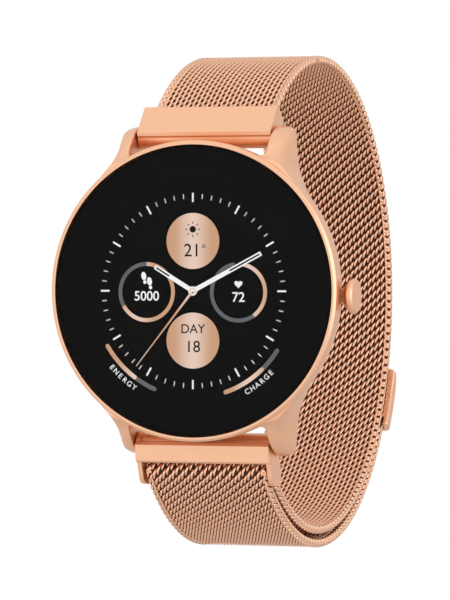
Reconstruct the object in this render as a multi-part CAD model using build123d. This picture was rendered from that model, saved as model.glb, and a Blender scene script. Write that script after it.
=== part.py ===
"""Round smartwatch on a woven wire strap closed in a loop.

Millimetres. The pieces are drawn in the wearer's frame of the watch: x runs to
the crown, y to 12 o'clock and z out of the dial, with the origin at the centre
of the strap's loop. They are written out turned so that the dial faces -Y and
12 o'clock is +Z.
"""

import os
from math import atan2, cos, degrees, hypot, radians, sin, sqrt

from build123d import *

# ---- driving dimensions -------------------------------------------------------
CASE_R = 21.2  # case, at its widest
BEZEL_WALL = 0.7  # bright ring seen round the glass
HEAD_DEPTH = 11.0  # glass apex to back plateau
DOME_RISE = 1.5
LUG_GAP = 20.5  # between the faces of a pair of lugs
LUG_WIDTH = 3.05
LUG_REACH = 2.3  # lug tips past the case
BAR_GAP = 0.7  # spring bars past the case
BAR_Z = -8.4  # and behind the glass apex
BARREL_R = 1.75  # link round its spring bar
BAR_TUBE_R = 0.9
LINK_LENGTH = 4.3
HOOD_T = 1.15  # lower link's cover over the strap's fold
LOOP_R = 35.2  # outer face of the strap's first layer
MESH_T = 1.3
MESH_WIDTH = 18.4
FOLD_R = 1.05  # middle of the strap where it turns back
BAR_INSET = 0.035  # upper bar inside the middle of the strap's first layer
HEAD_UP = 0.8  # head's centre above the loop's centre
CROWN_R = 2.45
CROWN_Y = -0.7
CROWN_Z = -5.4
CROWN_TRAVEL = 0.45
CLASP_FROM = 199.3  # degrees round the loop from the dial, over 12 o'clock
CLASP_TO = 214.8
CLASP_T = 2.55
CLASP_WIDTH = 20.0
PIN_TRAVEL = 1.2

# ---- clearances ---------------------------------------------------------------
RUN = 0.05  # radial, round a turning or sliding fit
SIDE = 0.25  # between a link and a lug
SPLIT = 0.3  # between two bodies that only come near each other
SEAT = 0.05  # round a piece that drops into a seat
LAYER = 0.15  # between two layers of strap under the clasp
SWEEP = 0.15  # past the corner of a link that swings

# ---- derived levels of the head, z from the glass apex ------------------------
GLASS_R = CASE_R - BEZEL_WALL
LUG_TIP_Y = CASE_R + LUG_REACH
BAR_Y = CASE_R + BAR_GAP
GLASS_BACK = -2.6
GASKET_T = 0.3
LEDGE_Z = GLASS_BACK - GASKET_T
BEZEL_Z = -2.3
DISPLAY_T = 1.1
DISPLAY_BACK = GLASS_BACK - DISPLAY_T
FRAME_T = 0.6
FRAME_FRONT = DISPLAY_BACK - 0.2
FRAME_BACK = FRAME_FRONT - FRAME_T
BOARD_FRONT = FRAME_BACK - 0.2
BOARD_BACK = BOARD_FRONT - 0.8
COVER_FRONT = -HEAD_DEPTH + 2.2
COVER_BACK = COVER_FRONT - 1.0
CASE_BACK = COVER_BACK - 0.1
SEAT_Z = COVER_FRONT + 0.2
PLATEAU_Z = -HEAD_DEPTH
CAVITY_R = CASE_R - 4.2
DISPLAY_SEAT_R = CASE_R - 2.6
COVER_SEAT_R = CASE_R - 3.3
BOSS_R = CAVITY_R - 1.1
BOSS_ANGLES = (45, 135, 225, 315)
FRAME_SCREWS = (90, 200, 320)

# ---- derived geometry of the loop ---------------------------------------------
HALF_T = MESH_T / 2
BAND_R = LOOP_R - HALF_T  # middle of the first layer
LINK_HALF = LUG_GAP / 2 - SIDE
BAR_OUT = sqrt((BAND_R - BAR_INSET) ** 2 - (HEAD_UP + BAR_Y) ** 2)
HEAD_OUT = BAR_OUT - BAR_Z  # glass apex in front of the loop's centre
BAR_TOP = (HEAD_UP + BAR_Y, BAR_OUT)
BAR_LOW = (HEAD_UP - BAR_Y, BAR_OUT)
HOOD_UNDER = FOLD_R + HALF_T + 0.1
HOOD_BACK = 0.4  # hood's rear corner behind the spring bar
HOOD_SWEEP = hypot(HOOD_BACK, HOOD_UNDER + HOOD_T) + SWEEP
TOP_ANGLE = degrees(atan2(*BAR_TOP))
MESH_START = TOP_ANGLE + degrees(2.6 / BAND_R)
SPLIT_AT = CLASP_FROM - 1.7
SPLIT_DEG = degrees(SPLIT / BAND_R)
FOLD_OUT = BAND_R + FOLD_R  # distance of the fold's middle from the loop's


def fold_angle():
    """Angle round the loop at which the fold clears the lower link's barrel."""
    need = BARREL_R + 0.35 + HALF_T + FOLD_R
    angle = degrees(atan2(*BAR_LOW))
    while True:
        at = (FOLD_OUT * sin(radians(angle)), FOLD_OUT * cos(radians(angle)))
        if hypot(at[0] - BAR_LOW[0], at[1] - BAR_LOW[1]) >= need:
            return angle + 360
        angle -= 0.05


FOLD_AT = fold_angle()
FOLD_YZ = (FOLD_OUT * sin(radians(FOLD_AT)), FOLD_OUT * cos(radians(FOLD_AT)))
# the folded layer runs on a circle of its own, which meets the fold and the clasp
_TURN = cos(radians(FOLD_AT - (CLASP_FROM + CLASP_TO) / 2))
TAIL_SHIFT = (FOLD_OUT + FOLD_R - LOOP_R - LAYER - HALF_T) / (1 - _TURN)
TAIL_R = FOLD_OUT + FOLD_R - TAIL_SHIFT
TAIL_C = (TAIL_SHIFT * sin(radians(FOLD_AT)), TAIL_SHIFT * cos(radians(FOLD_AT)))

BAND_CUTS = (MESH_START, 85.0, 125.0, 162.0, SPLIT_AT)
TAIL_CUTS = (FOLD_AT, 268.0, 234.0, CLASP_TO - 2.2)


# ---- helpers ------------------------------------------------------------------
def disc(r, z0, z1, x=0.0, y=0.0):
    """A cylinder along z between two levels."""
    return Pos(x, y, (z0 + z1) / 2) * Cylinder(r, abs(z1 - z0))


def ring(r_out, r_in, z0, z1, x=0.0, y=0.0):
    """A washer along z."""
    return disc(r_out, z0, z1, x, y) - disc(r_in, z0 - 1, z1 + 1, x, y)


def block(x0, x1, y0, y1, z0, z1):
    """A box between two corners."""
    size = (abs(x1 - x0), abs(y1 - y0), abs(z1 - z0))
    return Pos((x0 + x1) / 2, (y0 + y1) / 2, (z0 + z1) / 2) * Box(*size)


def rod(r, x0, x1, y, z):
    """A cylinder along x."""
    turned = Rot(0, 90, 0) * Cylinder(r, abs(x1 - x0))
    return Pos((x0 + x1) / 2, y, z) * turned


def prism(points, x0, x1):
    """A (y, z) outline drawn out along x."""
    outline = Polyline(*[(x0, y, z) for y, z in points], close=True)
    return extrude(make_face(outline), amount=x1 - x0, dir=(1, 0, 0))


def on_circle(centre, r, angle):
    """The (y, z) place at an angle from the dial over 12 o'clock."""
    return (centre[0] + r * sin(radians(angle)), centre[1] + r * cos(radians(angle)))


def arc_plate(centre, r_in, r_out, a0, a1, half):
    """A slice of a cylinder wall about x between two angles."""

    def place(r, a):
        y, z = on_circle(centre, r, a)
        return (-half, y, z)

    mid = (a0 + a1) / 2
    outer = ThreePointArc(place(r_out, a0), place(r_out, mid), place(r_out, a1))
    inner = ThreePointArc(place(r_in, a0), place(r_in, mid), place(r_in, a1))
    first = Line(place(r_in, a0), place(r_out, a0))
    last = Line(place(r_in, a1), place(r_out, a1))
    face = make_face([outer, last, inner, first])
    return extrude(face, amount=2 * half, dir=(1, 0, 0))


def hull_yz(circles, x0, x1):
    """The rounded plate that wraps a chain of (y, z, r) circles."""
    plate = None
    for (ya, za, ra), (yb, zb, rb) in zip(circles, circles[1:]):
        away = hypot(yb - ya, zb - za)
        lean = atan2(zb - za, yb - ya)
        spread = radians(90) + atan2(rb - ra, away)
        corners = []
        for y, z, r, side in ((ya, za, ra, 1), (yb, zb, rb, 1), (yb, zb, rb, -1), (ya, za, ra, -1)):
            turn = lean + side * spread
            corners.append((y + r * cos(turn), z + r * sin(turn)))
        piece = prism(corners, x0, x1) + rod(ra, x0, x1, ya, za) + rod(rb, x0, x1, yb, zb)
        plate = piece if plate is None else plate + piece
    return plate


def on_head(shape):
    """Moves a piece drawn from the glass apex to its place on the loop."""
    return Pos(0, HEAD_UP, HEAD_OUT) * shape


def polar(r, angle):
    """A place on the head at an angle from the crown over 12 o'clock."""
    return (r * cos(radians(angle)), r * sin(radians(angle)))


def together(shapes):
    """Several solids that make one node."""
    return Compound(children=[s for shape in shapes for s in shape.solids()])


NODES = {}


# ---- case ---------------------------------------------------------------------
def lug(side, end):
    """One lug: side is -1 or 1 along x, end is -1 or 1 along y."""
    rim = CASE_R
    tip = LUG_TIP_Y
    outline = [
        (rim - 9.2, -2.9),
        (rim - 3.6, -2.9),
        (rim - 1.8, -3.4),
        (rim, -4.7),
        (tip - 0.9, -6.3),
        (tip - 0.2, -7.7),
        (tip, -8.8),
        (tip - 0.3, -9.8),
        (tip - 1.2, -10.3),
        (rim - 1.2, -10.0),
        (rim - 5.2, -9.3),
        (rim - 9.2, -8.6),
    ]
    body = prism(outline, LUG_GAP / 2, LUG_GAP / 2 + LUG_WIDTH)
    outer = body.faces().sort_by(Axis.X)[-1]
    body = fillet(outer.edges(), 0.9)
    if side < 0:
        body = mirror(body, Plane.YZ)
    if end < 0:
        body = mirror(body, Plane.XZ)
    return body


def make_case():
    """The middle case with its lugs, bosses, ledges and crown hole."""
    rim = CASE_R
    wall = [
        Line((GLASS_R + 0.1, BEZEL_Z), (rim, BEZEL_Z)),
        Line((rim, BEZEL_Z), (rim, -4.0)),
        ThreePointArc((rim, -4.0), (rim - 0.9, -6.9), (rim - 2.5, CASE_BACK + 0.3)),
        Line((rim - 2.5, CASE_BACK + 0.3), (rim - 2.9, CASE_BACK)),
        Line((rim - 2.9, CASE_BACK), (COVER_SEAT_R, CASE_BACK)),
        Line((COVER_SEAT_R, CASE_BACK), (COVER_SEAT_R, SEAT_Z)),
        Line((COVER_SEAT_R, SEAT_Z), (CAVITY_R, SEAT_Z)),
        Line((CAVITY_R, SEAT_Z), (CAVITY_R, FRAME_BACK)),
        Line((CAVITY_R, FRAME_BACK), (DISPLAY_SEAT_R, FRAME_BACK)),
        Line((DISPLAY_SEAT_R, FRAME_BACK), (DISPLAY_SEAT_R, LEDGE_Z)),
        Line((DISPLAY_SEAT_R, LEDGE_Z), (GLASS_R + 0.1, LEDGE_Z)),
        Line((GLASS_R + 0.1, LEDGE_Z), (GLASS_R + 0.1, BEZEL_Z)),
    ]
    profile = Plane.XZ * make_face(wall)
    body = revolve(profile, Axis.Z)
    lugs = None
    for side in (-1, 1):
        for end in (-1, 1):
            piece = lug(side, end)
            lugs = piece if lugs is None else lugs + piece
    # the lugs stay outside the hollow of the case
    lugs -= disc(CASE_R - 1.2, 0, -HEAD_DEPTH - 2)
    body += lugs
    for angle in BOSS_ANGLES:
        x, y = polar(BOSS_R, angle)
        body += disc(1.3, SEAT_Z, BOARD_BACK, x, y) & disc(CAVITY_R + 0.5, 0, -20)
        body -= disc(0.5, SEAT_Z - 1, BOARD_BACK - 0.6, x, y)
    for angle in FRAME_SCREWS:
        x, y = polar(DISPLAY_SEAT_R - 0.8, angle)
        body -= disc(0.35, FRAME_BACK + 1, FRAME_BACK - 1.2, x, y)
    body -= rod(2.35, CASE_R - 0.45, CASE_R + 3, CROWN_Y, CROWN_Z)
    body -= rod(1.15, CAVITY_R - 3, CASE_R + 3, CROWN_Y, CROWN_Z)
    inner = LUG_GAP / 2
    for side in (-1, 1):
        for end in (-1, 1):
            body -= rod(0.4 + RUN, side * (inner - 1), side * (inner + 1.3), end * BAR_Y, BAR_Z)
    # a hollow at 6 o'clock for the lower link's hood to swing in
    body -= rod(HOOD_SWEEP, -inner, inner, -BAR_Y, BAR_Z)
    return body


NODES["mid_case"] = on_head(make_case())


def make_bezel():
    """The bright ring between the case and the glass."""
    body = ring(CASE_R, GLASS_R + 0.1, BEZEL_Z, BEZEL_Z + 0.85)
    top = body.edges().sort_by(Axis.Z)[-2:]
    return chamfer(top.sort_by(SortBy.RADIUS)[-1], 0.3)


NODES["bezel_ring"] = on_head(make_bezel())


def make_glass():
    """The domed cover glass: a disc under a wide sphere."""
    dome_r = (GLASS_R**2 + DOME_RISE**2) / (2 * DOME_RISE)
    dome = Pos(0, 0, -dome_r) * (Rot(90, 0, 0) * Sphere(dome_r))
    body = disc(GLASS_R, GLASS_BACK, 1) & dome
    rim = body.edges().filter_by(GeomType.CIRCLE).sort_by(Axis.Z)[-1]
    return chamfer(rim, 0.25)


NODES["cover_glass"] = on_head(make_glass())
NODES["glass_gasket"] = on_head(ring(GLASS_R - 0.2, DISPLAY_SEAT_R + 0.3, LEDGE_Z, GLASS_BACK))
NODES["display_panel"] = on_head(disc(DISPLAY_SEAT_R - 0.3, DISPLAY_BACK, GLASS_BACK))
NODES["display_pad"] = on_head(ring(DISPLAY_SEAT_R - 0.8, 13.5, FRAME_FRONT, DISPLAY_BACK))

# ---- inner frame, boards and battery ------------------------------------------
TUBE_IN = CAVITY_R - 0.1
STEM_END = TUBE_IN - 2.2
SWITCH_X = STEM_END - 2.3
FLEX_Y = -CAVITY_R + 0.8
FLEX_T = 0.15
frame_plate = disc(DISPLAY_SEAT_R - 0.15, FRAME_BACK, FRAME_FRONT)
frame_plate -= block(STEM_END + 0.5, CASE_R, CROWN_Y - 2.6, CROWN_Y + 2.6, -10, 0)
frame_plate -= block(-4.6, 4.6, FLEX_Y - 0.3, FLEX_Y + 1.4, -10, 0)
for side in (-1, 1):
    frame_plate -= disc(2.2, -10, 0, side * 7.5, 6.0)
for angle in FRAME_SCREWS:
    screw_at = polar(DISPLAY_SEAT_R - 0.8, angle)
    frame_plate -= disc(0.35 + SEAT, -10, 0, *screw_at)
    frame_plate -= disc(0.65 + SEAT, FRAME_FRONT - 0.3, 0, *screw_at)
NODES["inner_frame"] = on_head(frame_plate)


def screw(x, y, head_z, head_t, head_r, shaft_r, end_z):
    """A slotted screw along z with its head at head_z."""
    down = 1 if end_z > head_z else -1
    body = disc(head_r, head_z, head_z + down * head_t, x, y)
    body += disc(shaft_r, head_z, end_z, x, y)
    slot = block(x - head_r, x + head_r, y - 0.1, y + 0.1, head_z - 0.15, head_z + 0.15)
    return body - slot


frame_screws = []
for angle in FRAME_SCREWS:
    screw_at = polar(DISPLAY_SEAT_R - 0.8, angle)
    frame_screws.append(screw(*screw_at, FRAME_FRONT, 0.3, 0.65, 0.35, FRAME_BACK - 1.0))
NODES["frame_screws"] = on_head(together(frame_screws))

board = disc(CAVITY_R - 0.2, BOARD_BACK, BOARD_FRONT)
board -= block(SWITCH_X - 0.7, CASE_R, CROWN_Y - 2.6, CROWN_Y + 2.6, -10, 0)
board -= block(-4.5, 4.5, FLEX_Y - 3, FLEX_Y + 0.35, -10, 0)
NODES["main_board"] = on_head(board)

BATTERY = (-9.6, 9.6, -1.5, 13.0)
NODES["battery_pad"] = on_head(block(-8.5, 8.5, 0.0, 12.0, BOARD_BACK, BOARD_BACK - 0.3))
cell = block(*BATTERY, BOARD_BACK - 0.3, COVER_FRONT + 0.4)
cell = fillet(cell.edges().filter_by(Axis.Z), 1.0)
NODES["battery"] = on_head(cell)
shield = block(1.0, 9.4, -12.4, -4.0, BOARD_BACK, BOARD_BACK - 1.1)
shield -= block(1.2, 9.2, -12.2, -4.2, BOARD_BACK, BOARD_BACK - 0.9)
NODES["processor_shield"] = on_head(shield)
chips = []
CHIPS = (
    (-8.4, -4.4, -13.0, -9.6),
    (-3.2, 0.2, -9.8, -6.4),
    (-3.0, 0.0, -5.4, -2.8),
    (10.2, 11.6, -7.6, -5.0),
    (2.6, 7.8, -10.8, -5.6),
)
for x0, x1, y0, y1 in CHIPS:
    chips.append(block(x0, x1, y0, y1, BOARD_BACK, BOARD_BACK - 0.75))
NODES["board_chips"] = on_head(together(chips))

strip = block(-4, 4, FLEX_Y, FLEX_Y + 3.4, DISPLAY_BACK, DISPLAY_BACK - FLEX_T)
strip += block(-4, 4, FLEX_Y, FLEX_Y + FLEX_T, DISPLAY_BACK, BOARD_BACK - FLEX_T)
strip += block(-4, 4, FLEX_Y, FLEX_Y + 2.6, BOARD_BACK, BOARD_BACK - FLEX_T)
NODES["display_flex"] = on_head(strip)
NODES["display_pad"] -= on_head(block(-4.6, 4.6, -20, FLEX_Y + 3.8, -10, 0))
plug_z = BOARD_BACK - FLEX_T
NODES["display_connector"] = on_head(block(-2.6, 2.6, FLEX_Y + 1.0, FLEX_Y + 2.4, plug_z, plug_z - 0.6))

# ---- vibration motor ----------------------------------------------------------
MOTOR_Y = -6.2
MOTOR_R = 1.4
MOTOR_Z = BOARD_BACK - MOTOR_R
can = rod(MOTOR_R, -13.6, -8.8, MOTOR_Y, MOTOR_Z)
NODES["motor_can"] = on_head(can)
NODES["motor_shaft"] = on_head(rod(0.25, -8.8, -5.0, MOTOR_Y, MOTOR_Z))
weight = rod(MOTOR_R - 0.2, -8.3, -5.5, MOTOR_Y, MOTOR_Z)
weight &= block(-9, -5, MOTOR_Y - 2, MOTOR_Y + 0.45, MOTOR_Z - 2, MOTOR_Z + 2)
weight -= rod(0.25 + 0.02, -9, -5, MOTOR_Y, MOTOR_Z)
NODES["motor_rotor"] = on_head(weight)

# ---- crown and its switch -----------------------------------------------------
TUBE_OUT = CASE_R + 0.1
STEM_R = 0.8
CAP_IN = CASE_R + CROWN_TRAVEL + SPLIT
CAP_OUT = CAP_IN + 1.25


def crown_rod(r, x0, x1):
    """A cylinder on the crown's axis."""
    return rod(r, x0, x1, CROWN_Y, CROWN_Z)


tube = crown_rod(1.15, TUBE_IN, TUBE_OUT) - crown_rod(STEM_R + RUN, TUBE_IN - 1, TUBE_OUT + 1)
NODES["crown_tube"] = on_head(tube)
cap = crown_rod(CROWN_R, CAP_IN, CAP_OUT)
cap = chamfer(cap.edges().sort_by(Axis.X)[-1], 0.35)
cap = chamfer(cap.edges().sort_by(Axis.X)[0], 0.15)
cap += crown_rod(1.25, CAP_IN - 0.15, CAP_IN + 0.2)
cap -= crown_rod(STEM_R, CAP_IN - 1, CAP_OUT - 0.5)
NODES["crown_cap"] = on_head(cap)
stem = crown_rod(STEM_R, STEM_END, CAP_OUT - 0.5)
O_RING_X = (TUBE_IN + 1.3, TUBE_IN + 2.7)
CLIP_X = (TUBE_IN - 0.6, TUBE_IN - 0.3)
for x in O_RING_X:
    stem -= crown_rod(STEM_R + 1, x, x + 0.6) - crown_rod(STEM_R - 0.25, x, x + 0.6)
stem -= crown_rod(STEM_R + 1, *CLIP_X) - crown_rod(STEM_R - 0.3, *CLIP_X)
NODES["crown_stem"] = on_head(stem)
seals = []
for x in O_RING_X:
    seals.append(crown_rod(STEM_R + RUN - 0.01, x, x + 0.6) - crown_rod(STEM_R - 0.25, x - 1, x + 2))
NODES["crown_o_rings"] = on_head(together(seals))
clip = crown_rod(1.3, CLIP_X[0] + 0.03, CLIP_X[1] - 0.03) - crown_rod(STEM_R - 0.27, TUBE_IN - 2, TUBE_IN)
clip -= block(0, 30, CROWN_Y - 0.3, CROWN_Y + 0.3, CROWN_Z - 2, CROWN_Z)
NODES["crown_clip"] = on_head(clip)

bracket = block(SWITCH_X - 0.4, SWITCH_X, CROWN_Y - 1.9, CROWN_Y + 1.9, CROWN_Z - 1.1, FRAME_BACK)
bracket += block(SWITCH_X - 0.4, SWITCH_X + 1.4, CROWN_Y - 1.9, CROWN_Y + 1.9, FRAME_BACK - 0.1, FRAME_BACK)
NODES["switch_bracket"] = on_head(bracket)
housing = block(SWITCH_X, SWITCH_X + 1.4, CROWN_Y - 1.6, CROWN_Y + 1.6, CROWN_Z - 0.8, CROWN_Z + 0.75)
housing -= crown_rod(0.6 + RUN, SWITCH_X + 0.7, SWITCH_X + 2)
NODES["switch_body"] = on_head(housing)
NODES["switch_button"] = on_head(crown_rod(0.6, SWITCH_X + 1.2, STEM_END - 0.1))

# ---- back cover and sensor ----------------------------------------------------
COVER_R = COVER_SEAT_R - SEAT
WINDOW_R = 6.0
POCKET_R = 7.2
cover = disc(COVER_R, COVER_BACK, COVER_FRONT)
plateau = disc(11.5, PLATEAU_Z, COVER_BACK)
plateau = chamfer(plateau.faces().sort_by(Axis.Z)[0].edges(), 0.6)
cover += plateau
cover -= disc(POCKET_R, COVER_FRONT + 1, PLATEAU_Z + 0.7)
cover -= disc(WINDOW_R, 0, PLATEAU_Z - 1)
PADS = ((-2.3, -9.2), (2.3, -9.2))
MAGNETS = ((-6.6, 6.6), (6.6, 6.6))
for x, y in PADS:
    cover -= disc(1.1, 0, PLATEAU_Z - 1, x, y)
for x, y in MAGNETS:
    cover -= disc(1.35, COVER_FRONT + 1, PLATEAU_Z + 0.8, x, y)
back_screws = []
for angle in BOSS_ANGLES:
    x, y = polar(BOSS_R, angle)
    cover -= disc(0.55, 0, -20, x, y)
    cover -= disc(1.0 + SEAT, COVER_BACK - 1, COVER_BACK + 0.5, x, y)
    back_screws.append(screw(x, y, COVER_BACK, 0.5, 1.0, 0.5, BOARD_BACK - 0.8))
NODES["back_cover"] = on_head(cover)
NODES["back_screws"] = on_head(together(back_screws))
gasket = ring(COVER_SEAT_R - 0.2, CAVITY_R + 0.3, COVER_FRONT, SEAT_Z)
NODES["back_gasket"] = on_head(gasket)
window = disc(WINDOW_R - SEAT, PLATEAU_Z, PLATEAU_Z + 0.7)
window += disc(POCKET_R - 0.3, PLATEAU_Z + 0.7, PLATEAU_Z + 0.95)
NODES["sensor_window"] = on_head(window)
SENSOR_Z = PLATEAU_Z + 1.6
NODES["sensor_board"] = on_head(disc(POCKET_R - 0.2, SENSOR_Z, SENSOR_Z + 0.4))
baffle = ring(POCKET_R - 0.3, POCKET_R - 1.2, PLATEAU_Z + 0.95, SENSOR_Z)
baffle += ring(2.6, 2.1, PLATEAU_Z + 0.95, SENSOR_Z)
for turn in (0, 90):
    bar = block(-POCKET_R + 0.5, POCKET_R - 0.5, -0.25, 0.25, PLATEAU_Z + 0.95, SENSOR_Z)
    bar -= disc(2.2, 0, -20)
    baffle += Rot(0, 0, turn) * bar
NODES["light_baffle"] = on_head(baffle)
leds = [block(-0.9, 0.9, -0.9, 0.9, SENSOR_Z, SENSOR_Z - 0.4)]
for angle in BOSS_ANGLES:
    x, y = polar(4.2, angle)
    leds.append(block(x - 0.8, x + 0.8, y - 0.8, y + 0.8, SENSOR_Z, SENSOR_Z - 0.35))
NODES["sensor_leds"] = on_head(together(leds))
NODES["charging_pads"] = on_head(together([disc(1.1, COVER_FRONT, PLATEAU_Z, x, y) for x, y in PADS]))
magnets = [disc(1.3, COVER_FRONT, PLATEAU_Z + 0.8, x, y) for x, y in MAGNETS]
NODES["charging_magnets"] = on_head(together(magnets))


# ---- spring bars --------------------------------------------------------------
KNOB_X = -5.2
KNOB_R = 0.42
TUBE_HALF = LINK_HALF - 0.6


def bar_rod(at, r, x0, x1):
    """A cylinder on a spring bar's axis."""
    return rod(r, x0, x1, *at)


def knob_slot(at, inward, r, reach):
    """The slot a release knob travels in, cut from the bar's axis inward."""
    x0 = KNOB_X - r
    x1 = KNOB_X + PIN_TRAVEL + r
    far = (at[0] + inward[0] * reach, at[1] + inward[1] * reach)
    lean = degrees(atan2(inward[1], inward[0]))
    mid = Pos((x0 + x1) / 2, (at[0] + far[0]) / 2, (at[1] + far[1]) / 2)
    return mid * Rot(lean, 0, 0) * Box(x1 - x0, reach, 2 * r)


def spring_bar(name, at, inward):
    """Tube, fixed pin, sliding pin with its knob, and the spring between."""
    shell = bar_rod(at, BAR_TUBE_R, -TUBE_HALF, TUBE_HALF) - bar_rod(at, 0.55, -TUBE_HALF - 1, TUBE_HALF + 1)
    shell -= knob_slot(at, inward, KNOB_R + 0.1, BAR_TUBE_R + 0.5)
    NODES[name + "_bar_tube"] = shell
    fixed = bar_rod(at, 0.55, 4.0, TUBE_HALF) + bar_rod(at, 0.4, TUBE_HALF, LUG_GAP / 2 + 1.1)
    NODES[name + "_bar_pin"] = fixed
    slider = bar_rod(at, 0.55 - RUN, -TUBE_HALF - 0.05, KNOB_X + 1.4)
    slider += bar_rod(at, 0.4, -LUG_GAP / 2 - 1.1, -TUBE_HALF)
    far = (at[0] + inward[0] * 2.35, at[1] + inward[1] * 2.35)
    lean = degrees(atan2(inward[1], inward[0]))
    knob = Rot(lean, 0, 0) * (Rot(90, 0, 0) * Cylinder(KNOB_R, 2.35))
    knob = Pos(KNOB_X, (at[0] + far[0]) / 2, (at[1] + far[1]) / 2) * knob
    slider += knob
    NODES[name + "_release_pin"] = slider
    start = KNOB_X + 1.4 + PIN_TRAVEL + 0.15
    path = Helix(pitch=0.62, height=4.0 - start - 0.12, radius=0.38)
    wire = Plane(path @ 0, z_dir=path % 0) * Circle(0.09)
    coil = sweep(wire, path)
    NODES[name + "_bar_spring"] = Pos(start + 0.12, *at) * (Rot(0, 90, 0) * coil)


def unit_from(a, b):
    """The direction from one (y, z) place to another."""
    away = hypot(b[0] - a[0], b[1] - a[1])
    return ((b[0] - a[0]) / away, (b[1] - a[1]) / away)


TOP_IN = unit_from(BAR_TOP, (0, 0))
LOW_IN = unit_from(BAR_LOW, (0, 0))
spring_bar("upper", BAR_TOP, TOP_IN)
spring_bar("lower", BAR_LOW, LOW_IN)


# ---- end links ----------------------------------------------------------------
def link_frame(at, along, out):
    """A function that places (along, out) distances from a bar."""

    def place(s, v):
        return (at[0] + along[0] * s + out[0] * v, at[1] + along[1] * s + out[1] * v)

    return place


top_out = (-TOP_IN[0], -TOP_IN[1])
top_along = (top_out[1], -top_out[0])
top_place = link_frame(BAR_TOP, top_along, top_out)
top_outline = [
    top_place(-1.25, 1.5),
    top_place(-0.9, 1.95),
    top_place(LINK_LENGTH - 0.35, 1.95),
    top_place(LINK_LENGTH, 1.6),
    top_place(LINK_LENGTH, -1.5),
    top_place(LINK_LENGTH - 0.5, -1.95),
    top_place(0.3, -BARREL_R),
    top_place(-1.25, -1.2),
]
upper_link = prism(top_outline, -LINK_HALF, LINK_HALF) + rod(BARREL_R, -LINK_HALF, LINK_HALF, *BAR_TOP)
upper_link -= rod(BAR_TUBE_R, -LINK_HALF - 1, LINK_HALF + 1, *BAR_TOP)
upper_link -= knob_slot(BAR_TOP, TOP_IN, KNOB_R + 0.12, 4.0)
upper_link -= arc_plate(
    (0, 0), BAND_R - HALF_T - SEAT, LOOP_R + SEAT, MESH_START - 0.1, TOP_ANGLE + 14, MESH_WIDTH / 2 + SEAT
)
NODES["upper_link"] = upper_link

low_along = unit_from(BAR_LOW, FOLD_YZ)
low_out = (low_along[1] * -1, low_along[0])
if low_out[1] < 0:
    low_out = (-low_out[0], -low_out[1])
low_place = link_frame(BAR_LOW, low_along, low_out)
HOOD_TOP = HOOD_UNDER + HOOD_T
hood_outline = [
    low_place(-HOOD_BACK - 0.35, 1.2),
    low_place(-HOOD_BACK - 0.35, HOOD_TOP - 0.35),
    low_place(-HOOD_BACK, HOOD_TOP),
    low_place(1.9, HOOD_TOP),
    low_place(2.2, HOOD_TOP - 0.35),
    low_place(2.2, HOOD_UNDER),
    low_place(1.2, HOOD_UNDER),
    low_place(1.2, 0.6),
    low_place(0.0, 0.0),
]
cheek_tip = low_place(hypot(FOLD_YZ[0] - BAR_LOW[0], FOLD_YZ[1] - BAR_LOW[1]) + 0.35, -0.5)
cheek_chain = [
    (*low_place(0.3, 0.55), 2.15),
    (*FOLD_YZ, 1.95),
    (*cheek_tip, 1.75),
]
CHEEK_IN = MESH_WIDTH / 2 + 0.15
lower_link = prism(hood_outline, -LINK_HALF, LINK_HALF) + rod(BARREL_R, -LINK_HALF, LINK_HALF, *BAR_LOW)
for side in (-1, 1):
    lower_link += hull_yz(cheek_chain, side * CHEEK_IN, side * LINK_HALF)
lower_link -= rod(BAR_TUBE_R, -LINK_HALF - 1, LINK_HALF + 1, *BAR_LOW)
lower_link -= knob_slot(BAR_LOW, LOW_IN, KNOB_R + 0.12, 4.0)
FOLD_BAR_R = FOLD_R - HALF_T - 0.05
lower_link -= rod(FOLD_BAR_R, -LINK_HALF + 0.25, LINK_HALF - 0.25, *FOLD_YZ)
NODES["lower_link"] = lower_link
NODES["fold_bar"] = rod(FOLD_BAR_R, -LINK_HALF + 0.25, LINK_HALF - 0.25, *FOLD_YZ)

# ---- woven strap --------------------------------------------------------------
HALF_W = MESH_WIDTH / 2
for number, (a0, a1) in enumerate(zip(BAND_CUTS, BAND_CUTS[1:]), 1):
    NODES[f"upper_mesh_{number}"] = arc_plate((0, 0), BAND_R - HALF_T, LOOP_R, a0, a1, HALF_W)
NODES["lower_mesh"] = arc_plate((0, 0), BAND_R - HALF_T, LOOP_R, SPLIT_AT + SPLIT_DEG, FOLD_AT, HALF_W)
fold_turn = arc_plate(FOLD_YZ, FOLD_R - HALF_T, FOLD_R + HALF_T, FOLD_AT, FOLD_AT + 180, HALF_W)
NODES["fold_mesh"] = fold_turn
TAIL_IN = TAIL_R - HALF_T
TAIL_OUT = TAIL_R + HALF_T
for number, (a0, a1) in enumerate(zip(TAIL_CUTS, TAIL_CUTS[1:]), 1):
    NODES[f"tail_mesh_{number}"] = arc_plate(TAIL_C, TAIL_IN, TAIL_OUT, a0, a1, HALF_W)

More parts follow.
